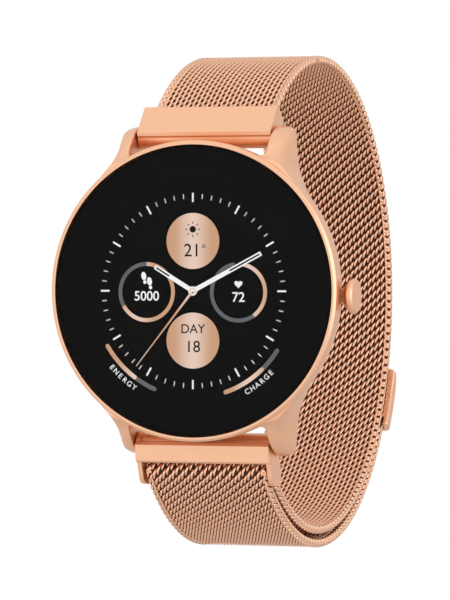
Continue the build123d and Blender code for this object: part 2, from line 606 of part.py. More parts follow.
# ---- magnetic clasp -----------------------------------------------------------
CLASP_IN = LOOP_R + LAYER
CLASP_OUT = CLASP_IN + CLASP_T
CLASP_HALF = CLASP_WIDTH / 2
shell = arc_plate((0, 0), CLASP_IN, CLASP_OUT, CLASP_FROM, CLASP_TO, CLASP_HALF)
shell = fillet(shell.edges().filter_by(Axis.X), 0.55)
shell -= arc_plate(TAIL_C, TAIL_IN - SEAT, TAIL_OUT + SEAT, TAIL_CUTS[-1], CLASP_TO + 3, HALF_W + SEAT)
shell -= arc_plate((0, 0), CLASP_IN - 0.1, CLASP_IN + 0.4, CLASP_FROM + 1.0, TAIL_CUTS[-1] - 1.0, HALF_W - 0.2)
MAGNET_CUTS = (CLASP_FROM + 2.0, TAIL_CUTS[-1] - 2.0)
clasp_magnets = []
for x in (-6.0, 0.0, 6.0):
    seat = arc_plate((0, 0), CLASP_IN + 0.4, CLASP_IN + 1.7, *MAGNET_CUTS, 2.7)
    seat = Pos(x, 0, 0) * seat
    shell -= seat
    clasp_magnets.append(seat)
NODES["clasp_housing"] = shell
NODES["clasp_magnets"] = together(clasp_magnets)
pad = arc_plate((0, 0), CLASP_IN, CLASP_IN + 0.4, CLASP_FROM + 1.0, TAIL_CUTS[-1] - 1.0, HALF_W - 0.2)
NODES["clasp_pad"] = pad


# ---- write the nodes ----------------------------------------------------------
def main():
    os.makedirs("parts", exist_ok=True)
    for name, shape in NODES.items():
        solids = list(shape.solids())
        whole = solids[0] if len(solids) == 1 else Compound(children=solids)
        export_step(whole.rotate(Axis.X, 90), f"parts/{name}.step")
        print(name, len(solids), round(sum(s.volume for s in solids), 3))
    hinges = {
        "upper_bar": BAR_TOP,
        "lower_bar": BAR_LOW,
        "fold": FOLD_YZ,
        "band_2": on_circle((0, 0), LOOP_R, BAND_CUTS[1]),
        "band_3": on_circle((0, 0), LOOP_R, BAND_CUTS[2]),
        "band_4": on_circle((0, 0), LOOP_R, BAND_CUTS[3]),
        "tail_1": on_circle(TAIL_C, TAIL_OUT, TAIL_CUTS[0]),
        "tail_2": on_circle(TAIL_C, TAIL_OUT, TAIL_CUTS[1]),
        "tail_3": on_circle(TAIL_C, TAIL_OUT, TAIL_CUTS[2]),
        "crown": (HEAD_UP + CROWN_Y, HEAD_OUT + CROWN_Z),
        "motor": (HEAD_UP + MOTOR_Y, HEAD_OUT + MOTOR_Z),
    }
    for name, (y, z) in hinges.items():
        print("axis", name, "row y", round(-z / 1000, 6), "row z", round(y / 1000, 6))
    print("fold angle", FOLD_AT, "tail centre", TAIL_C, "tail radius", TAIL_R)


main()
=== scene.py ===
"""Looks for a round smartwatch on a woven wire strap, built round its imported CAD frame."""

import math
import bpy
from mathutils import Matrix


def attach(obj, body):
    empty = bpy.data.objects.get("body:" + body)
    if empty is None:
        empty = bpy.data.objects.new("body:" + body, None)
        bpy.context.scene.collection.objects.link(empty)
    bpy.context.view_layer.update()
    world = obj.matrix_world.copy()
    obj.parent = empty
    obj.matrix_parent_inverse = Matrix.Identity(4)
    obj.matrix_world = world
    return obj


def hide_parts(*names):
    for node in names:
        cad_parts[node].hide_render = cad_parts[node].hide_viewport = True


bl_info = {
    "name": "Round smartwatch with woven strap",
    "version": (1, 0, 0),
    "blender": (4, 5, 0),
    "location": "3D View > Sidebar > Watch",
    "description": "Builds the wire weave, dial, glass and metal of a round smartwatch",
    "category": "Object",
}

import bpy
import numpy as np
from bpy.props import FloatProperty, FloatVectorProperty, PointerProperty
from mathutils import Matrix, Vector

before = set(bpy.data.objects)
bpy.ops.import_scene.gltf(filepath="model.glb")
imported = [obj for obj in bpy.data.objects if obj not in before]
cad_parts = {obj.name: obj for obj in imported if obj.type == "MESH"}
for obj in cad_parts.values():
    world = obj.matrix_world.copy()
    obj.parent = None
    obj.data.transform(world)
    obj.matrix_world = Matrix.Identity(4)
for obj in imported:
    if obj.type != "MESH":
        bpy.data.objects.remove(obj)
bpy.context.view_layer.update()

# sizes are in millimetres, except in the settings
MM = 0.001
HEAD_UP = 0.8  # the head's centre above the loop's
HEAD_OUT = 34.4  # the glass apex in front of the loop's centre
GLASS_R = 20.5
CASE_R = 21.2
DIAL_Z = -1.9  # where the picture appears through the glass


# ---- places ----
def on_row(x, y, z):
    """Row-frame metres from millimetres: x to the crown, y to 12 o'clock, z out of the dial."""
    return (x * MM, -z * MM, y * MM)


def on_head(x, y, z):
    """Row-frame metres from millimetres measured from the glass apex."""
    return on_row(x, y + HEAD_UP, z + HEAD_OUT)


# ---- mesh and material helpers ----
def make_object(name, verts, faces, material, smooth=True):
    """A mesh object in the scene's collection."""
    mesh = bpy.data.meshes.new(name)
    verts = np.asarray(verts, dtype=np.float32)
    if isinstance(faces, np.ndarray):
        sides = faces.shape[1]
        mesh.vertices.add(len(verts))
        mesh.vertices.foreach_set("co", verts.ravel())
        mesh.loops.add(faces.size)
        mesh.loops.foreach_set("vertex_index", faces.ravel().astype(np.int32))
        mesh.polygons.add(len(faces))
        mesh.polygons.foreach_set("loop_start", np.arange(0, faces.size, sides, dtype=np.int32))
        mesh.update(calc_edges=True)
    else:
        mesh.from_pydata([tuple(v) for v in verts.tolist()], [], faces)
    mesh.validate()
    mesh.polygons.foreach_set("use_smooth", [smooth] * len(mesh.polygons))
    mesh.materials.append(material)
    obj = bpy.data.objects.new(name, mesh)
    bpy.context.scene.collection.objects.link(obj)
    return obj


def new_material(name):
    """(material, node tree, Principled node)."""
    material = bpy.data.materials.new(name)
    material.use_nodes = True
    tree = material.node_tree
    return material, tree, tree.nodes["Principled BSDF"]


def set_inputs(node, **values):
    """Sets sockets by name, with _ for a space."""
    for key, value in values.items():
        node.inputs[key.replace("_", " ")].default_value = value


def object_noise(tree, scale, detail=3.0, stretch=(1, 1, 1)):
    """A noise texture in object space, stretched, in cells per metre."""
    coords = tree.nodes.new("ShaderNodeTexCoord")
    mapping = tree.nodes.new("ShaderNodeMapping")
    mapping.inputs["Scale"].default_value = stretch
    noise = tree.nodes.new("ShaderNodeTexNoise")
    set_inputs(noise, Scale=scale, Detail=detail)
    tree.links.new(coords.outputs["Object"], mapping.inputs["Vector"])
    tree.links.new(mapping.outputs["Vector"], noise.inputs["Vector"])
    return noise


def mapped(tree, source, low, high, from_low=0.3, from_high=0.7):
    """A value output remapped to a range."""
    node = tree.nodes.new("ShaderNodeMapRange")
    set_inputs(node, From_Min=from_low, From_Max=from_high, To_Min=low, To_Max=high)
    tree.links.new(source, node.inputs["Value"])
    return node.outputs["Result"]


def blended(tree, source, first, second):
    """A colour output that runs from first to second."""
    ramp = tree.nodes.new("ShaderNodeValToRGB")
    start, end = ramp.color_ramp.elements
    start.position, end.position = 0.3, 0.7
    start.color, end.color = (*first, 1), (*second, 1)
    tree.links.new(source, ramp.inputs["Fac"])
    return ramp.outputs["Color"]


def bumped(tree, bsdf, source, strength, distance):
    """Feeds a height output to the surface's normal."""
    bump = tree.nodes.new("ShaderNodeBump")
    set_inputs(bump, Strength=strength, Distance=distance)
    tree.links.new(source, bump.inputs["Height"])
    tree.links.new(bump.outputs["Normal"], bsdf.inputs["Normal"])


def shade(colour, by):
    """A colour made darker or lighter."""
    return tuple(min(max(c * by, 0.0), 1.0) for c in colour[:3])


def metal_material(name, colour, rough, grain=(1, 1, 1), cells=2500.0, spread=0.05):
    """Satin metal with a fine grain in its roughness and colour."""
    material, tree, bsdf = new_material(name)
    set_inputs(bsdf, Metallic=1.0)
    level = object_noise(tree, cells, 4.0, grain).outputs["Fac"]
    mottle = blended(tree, level, shade(colour, 0.965), shade(colour, 1.02))
    tree.links.new(mottle, bsdf.inputs["Base Color"])
    tree.links.new(mapped(tree, level, rough - spread, rough + spread), bsdf.inputs["Roughness"])
    bumped(tree, bsdf, level, 0.03, 0.000005)
    return material


def plain_material(name, colour, rough, metallic=0.0, spread=0.08):
    """Moulded or coated stuff with a faint mottle."""
    material, tree, bsdf = new_material(name)
    set_inputs(bsdf, Metallic=metallic)
    level = object_noise(tree, 1500.0, 3.0).outputs["Fac"]
    mottle = blended(tree, level, shade(colour, 0.86), shade(colour, 1.1))
    tree.links.new(mottle, bsdf.inputs["Base Color"])
    tree.links.new(mapped(tree, level, rough - spread, rough + spread), bsdf.inputs["Roughness"])
    bumped(tree, bsdf, level, 0.1, 0.00002)
    return material


def light_up(tree, bsdf, colour, glow):
    """Makes a surface shine with a colour output, and mirror nothing."""
    tree.links.new(colour, bsdf.inputs["Emission Color"])
    set_inputs(bsdf, Base_Color=(0.01, 0.01, 0.01, 1), Roughness=0.7, Emission_Strength=glow)
    set_inputs(bsdf, Specular_IOR_Level=0.0)


def lit_material(name, first, second, glow):
    """A lit part of the display: its colour runs gently between two shades."""
    material, tree, bsdf = new_material(name)
    noise = object_noise(tree, 900.0, 1.0)
    light_up(tree, bsdf, blended(tree, noise.outputs["Fac"], first, second), glow)
    return material


SHEEN_HALF = 0.0042  # metres from a bright band's middle to where it turns back


def sheen_material(name, edge, middle, glow):
    """A lit colour like polished metal: upright bands of bright and dark."""
    material, tree, bsdf = new_material(name)
    coords = tree.nodes.new("ShaderNodeTexCoord")
    split = tree.nodes.new("ShaderNodeSeparateXYZ")
    tree.links.new(coords.outputs["Object"], split.inputs["Vector"])
    wave = tree.nodes.new("ShaderNodeMath")
    wave.operation = "PINGPONG"
    wave.inputs[1].default_value = SHEEN_HALF
    tree.links.new(split.outputs["X"], wave.inputs[0])
    ramp = tree.nodes.new("ShaderNodeValToRGB")
    ramp.color_ramp.interpolation = "EASE"
    start, end = ramp.color_ramp.elements
    start.color, end.color = (*middle, 1), (*edge, 1)
    end.position = 0.75
    level = mapped(tree, wave.outputs["Value"], 0.0, 1.0, 0.0, SHEEN_HALF)
    tree.links.new(level, ramp.inputs["Fac"])
    light_up(tree, bsdf, ramp.outputs["Color"], glow)
    return material


def sweep_tube(points, radius, sides):
    """(verts, quads) of round tubes: points is (runs, steps, 3)."""
    ahead = np.roll(points, -1, axis=1) - points
    behind = points - np.roll(points, 1, axis=1)
    along = ahead + behind
    along[:, 0] = ahead[:, 0]
    along[:, -1] = behind[:, -1]
    along /= np.linalg.norm(along, axis=2, keepdims=True)
    helper = np.zeros_like(along)
    helper[..., 0] = 1.0
    steep = np.abs(along[..., 0]) > 0.95
    helper[steep] = (0.0, 1.0, 0.0)
    first = np.cross(along, helper)
    first /= np.linalg.norm(first, axis=2, keepdims=True)
    second = np.cross(along, first)
    turn = np.arange(sides) * 2 * np.pi / sides
    ring = first[:, :, None] * np.cos(turn)[:, None] + second[:, :, None] * np.sin(turn)[:, None]
    verts = points[:, :, None] + ring * radius
    runs, steps = points.shape[:2]
    index = np.arange(runs * steps * sides).reshape(runs, steps, sides)
    here, there = index[:, :-1], index[:, 1:]
    quads = np.stack([here, np.roll(here, -1, 2), np.roll(there, -1, 2), there], -1)
    return verts.reshape(-1, 3), quads.reshape(-1, 4)


def cad_finish(name, material, bevel=0.0):
    """Gives a CAD node its material, and its sharp edges a small round."""
    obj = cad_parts[name]
    obj.data.materials.clear()
    obj.data.materials.append(material)
    if bevel:
        weld = obj.modifiers.new("weld", "WELD")
        weld.merge_threshold = 0.000002
        round_edges = obj.modifiers.new("round_edges", "BEVEL")
        round_edges.width = bevel * MM
        round_edges.segments = 3
        round_edges.angle_limit = math.radians(30)
        round_edges.harden_normals = True


# ---- solids from distance fields, negative inside ----
def soft_union(a, b, soft):
    """Two solids with a fillet where they meet."""
    share = np.clip(0.5 + 0.5 * (b - a) / soft, 0, 1)
    return b + (a - b) * share - soft * share * (1 - share)


def soft_overlap(a, b, soft):
    """What two solids share, with rounded edges."""
    return -soft_union(-a, -b, soft)


def field_surface(field, low, high, step):
    """(verts, quads, normals) of a field's surface: field takes x, y, z arrays in millimetres."""
    axes = [np.arange(a, b + step, step) for a, b in zip(low, high)]
    value = field(axes[0][:, None, None], axes[1][None, :, None], axes[2][None, None, :])
    size = value.shape
    cells = tuple(n - 1 for n in size)
    count = np.zeros(cells)
    total = np.zeros((*cells, 3))
    crossings = []
    for axis in range(3):
        u, v = [other for other in range(3) if other != axis]
        before, after = [slice(None)] * 3, [slice(None)] * 3
        before[axis], after[axis] = slice(None, -1), slice(1, None)
        a, b = value[tuple(before)], value[tuple(after)]
        cross = (a < 0) != (b < 0)
        share = np.where(cross, a / np.where(a == b, 1, a - b), 0)
        crossings.append((axis, u, v, cross, a < 0))
        for du in (0, 1):
            for dv in (0, 1):
                part = [slice(None)] * 3
                part[u] = slice(du, size[u] - 1 + du)
                part[v] = slice(dv, size[v] - 1 + dv)
                here = cross[tuple(part)]
                count += here
                total[..., axis] += share[tuple(part)]
                total[..., u] += here * du
                total[..., v] += here * dv
    used = count > 0
    number = np.full(cells, -1)
    number[used] = np.arange(used.sum())
    verts = np.argwhere(used) + total[used] / count[used][:, None]
    verts = verts * step + np.array(low)
    quads = []
    for axis, u, v, cross, inside in crossings:
        at = np.argwhere(cross)
        keep = (at[:, u] > 0) & (at[:, v] > 0) & (at[:, u] < size[u] - 1) & (at[:, v] < size[v] - 1)
        at = at[keep]
        corners = []
        for du, dv in ((1, 1), (0, 1), (0, 0), (1, 0)):
            cell = at.copy()
            cell[:, u] -= du
            cell[:, v] -= dv
            corners.append(number[tuple(cell.T)])
        quad = np.stack(corners, 1)
        flip = inside[tuple(at.T)] == (axis == 1)
        quad[flip] = quad[flip][:, ::-1]
        quads.append(quad)
    for _ in range(3):
        slope, here = field_slope(field, verts)
        verts = verts - np.clip(here, -step, step)[:, None] * slope
    slope, _ = field_slope(field, verts)
    return verts, np.vstack(quads), slope


def field_slope(field, verts, eps=0.02):
    """(unit slope, value) of a field at points."""
    here = field(*verts.T)
    slope = np.stack([field(*(verts + eps * unit).T) - here for unit in np.eye(3)], 1)
    slope /= np.maximum(np.linalg.norm(slope, axis=1, keepdims=True), 1e-9)
    return slope, here


def field_object(name, field, low, high, step, place, material):
    """A mesh of a field's surface; place carries its points to the row frame in metres."""
    verts, quads, slope = field_surface(field, low, high, step)
    ahead = place(verts + slope * 0.05)
    verts = place(verts)
    normals = ahead - verts
    normals /= np.linalg.norm(normals, axis=1, keepdims=True)
    obj = make_object(name, verts, quads, material)
    if len(obj.data.vertices) == len(normals):
        obj.data.normals_split_custom_set_from_vertices(normals.tolist())
    return obj


def head_points(points):
    """Head millimetres to row-frame metres, for an array of points."""
    return np.stack([points[:, 0], -(points[:, 2] + HEAD_OUT), points[:, 1] + HEAD_UP], 1) * MM


# ---- settings ----
class WatchStrapSettings(bpy.types.PropertyGroup):
    """Sizes of the strap's weave."""

    wire: FloatProperty(
        name="Wire radius", description="Radius of the strap's wire",
        default=0.000195, subtype="DISTANCE", unit="LENGTH",
    )
    row_pitch: FloatProperty(
        name="Row pitch", description="Distance from one coil to the next along the strap",
        default=0.000635, subtype="DISTANCE", unit="LENGTH",
    )
    coil_pitch: FloatProperty(
        name="Coil pitch", description="Distance between turns across the strap",
        default=0.00142, subtype="DISTANCE", unit="LENGTH",
    )
    reach: FloatProperty(
        name="Coil reach", description="Half the length of a coil along the strap",
        default=0.00066, subtype="DISTANCE", unit="LENGTH",
    )
    edge_wire: FloatProperty(
        name="Edge wire", description="Radius of the wires that bind the strap's edges",
        default=0.00022, subtype="DISTANCE", unit="LENGTH",
    )


class WatchMetalSettings(bpy.types.PropertyGroup):
    """Colours and finish of the metal."""

    rose: FloatVectorProperty(
        name="Case colour", description="Colour of the case, links and clasp",
        default=(0.92, 0.535, 0.34), subtype="COLOR",
    )
    weave: FloatVectorProperty(
        name="Strap colour", description="Colour of the strap's wire",
        default=(0.88, 0.53, 0.355), subtype="COLOR",
    )
    # painted shade: a near-black colour for the sheets that stand for the shade deep in the weave
    core: FloatVectorProperty(
        name="Painted shade in the weave", description="Colour of the painted shade deep in the weave",
        default=(0.06, 0.024, 0.012), subtype="COLOR",
    )
    steel: FloatVectorProperty(
        name="Steel colour", description="Colour of pins and screws",
        default=(0.62, 0.61, 0.60), subtype="COLOR",
    )
    rough: FloatProperty(
        name="Roughness", description="Roughness of the satin finish",
        default=0.38, min=0.05, max=0.9,
    )


class WatchDialSettings(bpy.types.PropertyGroup):
    """Colours of the display."""

    white: FloatVectorProperty(
        name="White marks", description="Colour of hands, ticks and figures",
        default=(0.92, 0.92, 0.93), subtype="COLOR",
    )
    rose: FloatVectorProperty(
        name="Rose marks", description="Colour of discs, rings and the seconds hand",
        default=(0.60, 0.34, 0.205), subtype="COLOR",
    )
    sheen: FloatVectorProperty(
        name="Rose sheen", description="Brightest colour of discs and rings",
        default=(0.80, 0.60, 0.50), subtype="COLOR",
    )
    grey: FloatVectorProperty(
        name="Grey marks", description="Colour of the unlit part of each ring",
        default=(0.13, 0.13, 0.14), subtype="COLOR",
    )
    glow: FloatProperty(
        name="Brightness", description="Brightness of the display",
        default=1.0, min=0.0, max=4.0,
    )
    glass: FloatVectorProperty(
        name="Glass backing", description="Colour behind the glass",
        default=(0.0074, 0.0071, 0.0070), subtype="COLOR",
    )


class WatchStageSettings(bpy.types.PropertyGroup):
    """Light and camera."""

    above: FloatProperty(
        name="Light above", description="Brightness of the surroundings overhead",
        default=1.0, min=0.0, max=5.0,
    )
    below: FloatProperty(
        name="Light below", description="Brightness of the surroundings underneath",
        default=0.7, min=0.0, max=5.0,
    )
    ahead: FloatProperty(
        name="Light ahead", description="Share of it in front of the dial",
        default=1.45, min=0.0, max=5.0,
    )
    behind: FloatProperty(
        name="Light behind", description="Share of it behind the watch",
        default=1.05, min=0.0, max=5.0,
    )
    yaw: FloatProperty(
        name="Camera round", description="Angle of the camera towards the crown",
        default=math.radians(18.98), subtype="ANGLE", unit="ROTATION",
    )
    rise: FloatProperty(
        name="Camera up", description="Angle of the camera above level",
        default=math.radians(0.6), subtype="ANGLE", unit="ROTATION",
    )
    away: FloatProperty(
        name="Camera distance", description="Distance from the dial",
        default=0.5697, subtype="DISTANCE", unit="LENGTH",
    )
    lens: FloatProperty(
        name="Lens", description="Focal length in millimetres for a 24 mm high frame",
        default=162.7, min=10.0, max=400.0,
    )


# ---- strap ----
STRAP_HALF = 9.2
MESH_HALF_T = 0.65  # half of the mesh's thickness
COIL_IN = 0.28  # from the strap's edge to the coils' ends
BIND_HALF = 0.34  # half the width of the edge binding
HALF_SPLIT = 0.15  # half of the gap where the closed loop is opened
HIDDEN_TOP = 0.2  # how far the rows stop short, inside the upper link
HIDDEN_TAIL = 0.3  # and inside the clasp
PAINTED_SHADE_IN = 0.8  # from the strap's edge to the thin dark sheet of painted shade inside the weave
PAINTED_SHADE_HALF_T = 0.07
EDGE_PAINTED_SHADE_IN = 0.51  # from the strap's edge to the middle of the painted-shade sheet in its binding
EDGE_PAINTED_SHADE_HALF = 0.2
EDGE_PAINTED_SHADE_HALF_T = 0.3
TURN_STEPS, WIRE_SIDES = 10, 5  # of a coil
BIND_STEPS, BIND_SIDES = 16, 6  # of an edge wire
PAIR_APART = 0.9  # from the middle of a pair of edge wires to each, in wire radii
CHEVRON = 0.5  # how far an edge wire leans along the strap
ARC_FITS = 30
ARC_CLOSE = 1e-6


def arc_of(name):
    """(centre y, centre z, radius, first angle, last angle) of a strap length's CAD outline."""
    points = np.empty(len(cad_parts[name].data.vertices) * 3, dtype=np.float32)
    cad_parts[name].data.vertices.foreach_get("co", points)
    points = points.reshape(-1, 3).astype(float) / MM
    y, z = points[:, 2], -points[:, 1]
    # the outline is two concentric arcs, and each keeps one distance from the centre
    centre = np.array([0.0, 0.0])
    if name == "fold_mesh":
        centre = np.array([(y.min() + y.max()) / 2, (z.min() + z.max()) / 2])
    for _ in range(ARC_FITS):
        away = np.hypot(y - centre[0], z - centre[1])
        middle = (away.max() + away.min()) / 2
        rows, wanted = [], []
        for side in (away > middle, away <= middle):
            unit = np.stack([y[side] - centre[0], z[side] - centre[1]], 1) / away[side][:, None]
            rows.append(unit - unit.mean(0))
            wanted.append(away[side] - away[side].mean())
        shift = np.linalg.lstsq(np.vstack(rows), np.hstack(wanted), rcond=None)[0]
        centre = centre + shift
        if np.abs(shift).max() < ARC_CLOSE:
            break
    away = np.hypot(y - centre[0], z - centre[1])
    middle = (away.max() + away.min()) / 2
    angles = np.degrees(np.arctan2(y - centre[0], z - centre[1])) % 360
    order = np.unique(np.round(angles, 3))
    gaps = np.diff(np.append(order, order[0] + 360))
    widest = int(np.argmax(gaps))
    first = order[(widest + 1) % len(order)]
    last = order[widest]
    if last < first:
        last += 360
    return centre[0], centre[1], middle, first, last


def weave(centre, radius, angles, phases, settings):
    """(verts, quads) in millimetres of the coils whose middles are at these angles in degrees."""
    pitch = settings.coil_pitch / MM
    reach = settings.reach / MM
    wire = settings.wire / MM
    depth = MESH_HALF_T - wire
    inner = STRAP_HALF - COIL_IN
    count = int(2 * inner / pitch * TURN_STEPS)
    travel = np.arange(count + 1) / TURN_STEPS * 2 * np.pi
    turn = travel[None] + phases[:, None]
    x = np.broadcast_to(-inner + pitch * travel / (2 * np.pi), turn.shape)
    a = np.radians(angles)[:, None] + reach * np.cos(turn) / radius
    r = radius - depth * np.sin(turn)
    y = centre[0] + r * np.sin(a)
    z = centre[1] + r * np.cos(a)
    points = np.stack([x, -z, y], -1)
    return sweep_tube(points, wire, WIRE_SIDES)


def binding(centre, radius, angles, step_mm, settings):
    """(verts, quads) in millimetres of each edge's paired wires, one turn for two rows."""
    wire = settings.edge_wire / MM
    turns = max(len(angles) // 2, 1)
    step = len(angles) * step_mm / turns
    turn = np.arange(turns * BIND_STEPS + 1) / BIND_STEPS * 2 * np.pi
    first = math.radians(angles[0]) - 0.5 * step_mm / radius
    along = first + turn / (2 * np.pi) * step / radius
    runs = []
    for side in (-1, 1):
        for beside in (-PAIR_APART, PAIR_APART):
            x = side * (STRAP_HALF - wire - BIND_HALF + BIND_HALF * np.cos(turn))
            r = radius + (MESH_HALF_T - wire) * np.sin(turn)
            lean = along + (CHEVRON * np.sin(turn) ** 2 + beside * wire) / radius
            y = centre[0] + r * np.sin(lean)
            z = centre[1] + r * np.cos(lean)
            runs.append(np.stack([x, -z, y], -1))
    return sweep_tube(np.stack(runs), wire, BIND_SIDES)


def painted_shade_plate(centre, radius, first, last, half_t, across):
    """(verts, quads) in millimetres of a thin curved plate, a dark sheet of painted shade, between
    two places across the strap.
    """
    left, right = across
    steps = max(int(abs(last - first) / 2), 3)
    verts = []
    for a in np.radians(np.linspace(first, last, steps + 1)):
        for x, v in ((left, -half_t), (right, -half_t), (right, half_t), (left, half_t)):
            r = radius + v
            verts.append((x, -(centre[1] + r * math.cos(a)), centre[0] + r * math.sin(a)))
    quads = []
    for k in range(steps):
        for i in range(4):
            j = (i + 1) % 4
            quads.append((4 * k + j, 4 * k + i, 4 * k + 4 + i, 4 * k + 4 + j))
    quads += [(0, 1, 2, 3), tuple(4 * steps + i for i in range(3, -1, -1))]
    return np.array(verts), quads


def strap_length(name, node, body, settings, materials, first_row, grow=(0.0, 0.0)):
    """One length of woven strap in place of its CAD node, with dark sheets of painted shade inside
    it. Returns the next row's number.
    """
    cy, cz, radius, first, last = arc_of(node)
    pitch = settings.row_pitch / MM
    first -= math.degrees(grow[0] / radius)
    last += math.degrees(grow[1] / radius)
    length = math.radians(last - first) * radius
    count = max(int(round(length / pitch)), 1)
    angles = first + (np.arange(count) + 0.5) * (last - first) / count
    rows = first_row + np.arange(count)
    verts, quads = weave((cy, cz), radius, angles, (rows % 2) * math.pi, settings)
    more_verts, more_quads = binding((cy, cz), radius, angles, length / count, settings)
    quads = np.vstack([quads, more_quads + len(verts)])
    verts = np.vstack([verts, more_verts]) * MM
    obj = make_object(name, verts, quads, materials[0])
    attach(obj, body)
    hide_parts(node)
    # dark sheets of painted shade inside the weave: one across the middle and one in each edge
    # binding
    half = STRAP_HALF - PAINTED_SHADE_IN
    plate, faces = painted_shade_plate((cy, cz), radius, first, last, PAINTED_SHADE_HALF_T, (-half, half))
    verts, quads = list(plate), list(faces)
    for middle in (-STRAP_HALF + EDGE_PAINTED_SHADE_IN, STRAP_HALF - EDGE_PAINTED_SHADE_IN):
        across = (middle - EDGE_PAINTED_SHADE_HALF, middle + EDGE_PAINTED_SHADE_HALF)
        plate, faces = painted_shade_plate((cy, cz), radius, first, last, EDGE_PAINTED_SHADE_HALF_T, across)
        quads += [tuple(i + len(verts) for i in face) for face in faces]
        verts += list(plate)
    core = make_object(name + "_painted_shade", np.array(verts) * MM, quads, materials[1], smooth=False)
    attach(core, body)
    return first_row + count


class WATCH_OT_strap(bpy.types.Operator):
    """Weave the strap: interlocked flat coils bound at both edges, with dark sheets of painted
    shade inside
    """

    bl_idname = "watch.strap"
    bl_label = "Woven strap"

    def execute(self, context):
        settings = context.scene.watch_strap
        metal = context.scene.watch_metal
        wire = metal_material("strap_wire", metal.weave, metal.rough - 0.04, cells=5000.0)
        # the second material is painted shade: near-black sheets that darken the gaps between the
        # wires
        core = plain_material("strap_painted_shade", metal.core, 0.7, metallic=0.3)
        runs = (
            (
                ("strap_top", "upper_mesh_1", "upper_band", (-HIDDEN_TOP, 0.0)),
                ("strap_over", "upper_mesh_2", "band_b", (0.0, 0.0)),
                ("strap_rear_top", "upper_mesh_3", "band_c", (0.0, 0.0)),
                ("strap_rear", "upper_mesh_4", "band_d", (0.0, HALF_SPLIT)),
                ("strap_inner", "lower_mesh", "lower_band", (HALF_SPLIT, 0.0)),
                ("strap_fold", "fold_mesh", "lower_band", (0.0, 0.0)),
            ),
            (
                ("strap_tail_end", "tail_mesh_3", "tail_c", (-HIDDEN_TAIL, 0.0)),
                ("strap_tail_mid", "tail_mesh_2", "tail_b", (0.0, 0.0)),
                ("strap_tail", "tail_mesh_1", "tail_a", (0.0, 0.0)),
            ),
        )
        for lengths in runs:
            row = 0
            for name, node, body, grow in lengths:
                row = strap_length(name, node, body, settings, (wire, core), row, grow)
        return {"FINISHED"}


# ---- metal ----
BEZEL_Z = -2.3
CASE_BACK = -9.9
SEAT_Z = -8.6
BOARD_BACK = -5.5
CROWN_AT = (-0.7, -5.4)
BAR_AT = (21.9, -8.4)
LUG_FACE = 10.25
LUG_TIP = 23.5
LUG_HALF = 11.7  # from the middle to a lug's outer side, at its tip
LUG_FRONT, LUG_BACK = -2.9, -8.6
LUG_BEND_Y = 16.5  # where the lugs start to curve down
BOSS_AT = 15.9 * math.sqrt(0.5)
BOSS_OUT_R, BOSS_BORE_R, BOSS_END_R = 1.3, 0.5, 17.2
HOOD_SWEEP = 3.13  # room for the lower link's hood
DISH_R, DISH_FLOOR = 2.15, 20.3  # the hollow that the crown's collar stands in
BORE_R, BORE_FROM = 1.15, 10.0
PIN_R, PIN_END = 0.45, 11.55
# radius, floor and top of each hollow: glass, display, works, back cover
POCKETS = ((20.6, -2.9, 5.0), (18.6, -4.5, 5.0), (17.0, SEAT_Z - 0.1, 5.0), (17.9, -20.0, SEAT_Z))


def lug_field(x, y, z):
    """The four lugs: they curve down to the wrist, narrow to their tips and lean in."""
    px, py = np.abs(x), np.abs(y)
    bend = np.maximum(py - LUG_BEND_Y, 0)
    front = (z - LUG_FRONT + 0.0314 * bend**2.6) / np.sqrt(1 + (0.0816 * bend**1.6) ** 2)
    back = LUG_BACK - 0.175 * (py - 12) - z
    along = LUG_TIP - py
    lean = 0.22 * np.clip(z + 3.5, -4.5, 2.0)
    outer = 0.93 * (px - (LUG_HALF + 0.06 * along + 0.011 * along**2 - lean))
    shape = soft_overlap(outer, front, 2.3)
    shape = soft_overlap(shape, -along, 1.4)
    shape = soft_overlap(shape, back, 0.9)
    shape = soft_overlap(shape, LUG_FACE - px, 0.35)
    return np.maximum(shape, 11.0 - py)


def case_field(x, y, z):
    """The middle case: a tapered wall, lugs that grow out of it, and what is cut from both."""
    r = np.hypot(x, y)
    depth = -4.0 - z
    depth = 0.5 * (depth + np.sqrt(depth**2 + 0.4))
    wall = 0.95 * (r - (CASE_R + 0.02 - 0.164 * depth - 0.0504 * depth**2))
    soft = 1.2 + 1.8 * np.clip((np.abs(x) - 10.6) / 1.8, 0, 1)
    shape = soft_union(wall, lug_field(x, y, z), soft)
    shape = soft_overlap(shape, z - BEZEL_Z, 0.3)
    back = CASE_BACK - z - 0.45 * np.clip(r - 19.5, 0, 3)
    shape = soft_overlap(shape, back, 0.5)
    hollow = np.full_like(shape, 9.0)
    for radius, floor, top in POCKETS:
        hollow = np.minimum(hollow, np.maximum(r - radius, np.maximum(floor - z, z - top)))
    shape = np.maximum(shape, -hollow)
    from_boss = np.hypot(np.abs(x) - BOSS_AT, np.abs(y) - BOSS_AT)
    boss = np.maximum(from_boss - BOSS_OUT_R, np.maximum(SEAT_Z - z, z - BOARD_BACK))
    boss = np.maximum(np.maximum(boss, r - BOSS_END_R), BOSS_BORE_R - from_boss)
    shape = np.minimum(shape, boss)
    from_crown = np.hypot(y - CROWN_AT[0], z - CROWN_AT[1])
    dish = soft_overlap(from_crown - DISH_R, DISH_FLOOR - x, 0.3)
    bore = np.maximum(from_crown - BORE_R, BORE_FROM - x)
    shape = np.maximum(shape, -np.minimum(dish, bore))
    from_bar = np.hypot(np.abs(y) - BAR_AT[0], z - BAR_AT[1])
    pin_hole = np.maximum(from_bar - PIN_R, np.abs(x) - PIN_END)
    shape = np.maximum(shape, -pin_hole)
    from_low = np.hypot(y + BAR_AT[0], z - BAR_AT[1])
    return np.maximum(shape, -np.maximum(from_low - HOOD_SWEEP, np.abs(x) - LUG_FACE))


def ring_faces(rings, count, flip=False):
    """Quads between rings of count points each, turned over where flip is set."""
    faces = []
    for k in range(rings - 1):
        for i in range(count):
            a, b = k * count + i, k * count + (i + 1) % count
            quad = (b, a, a + count, b + count) if flip else (a, b, b + count, a + count)
            faces.append(quad)
    return faces


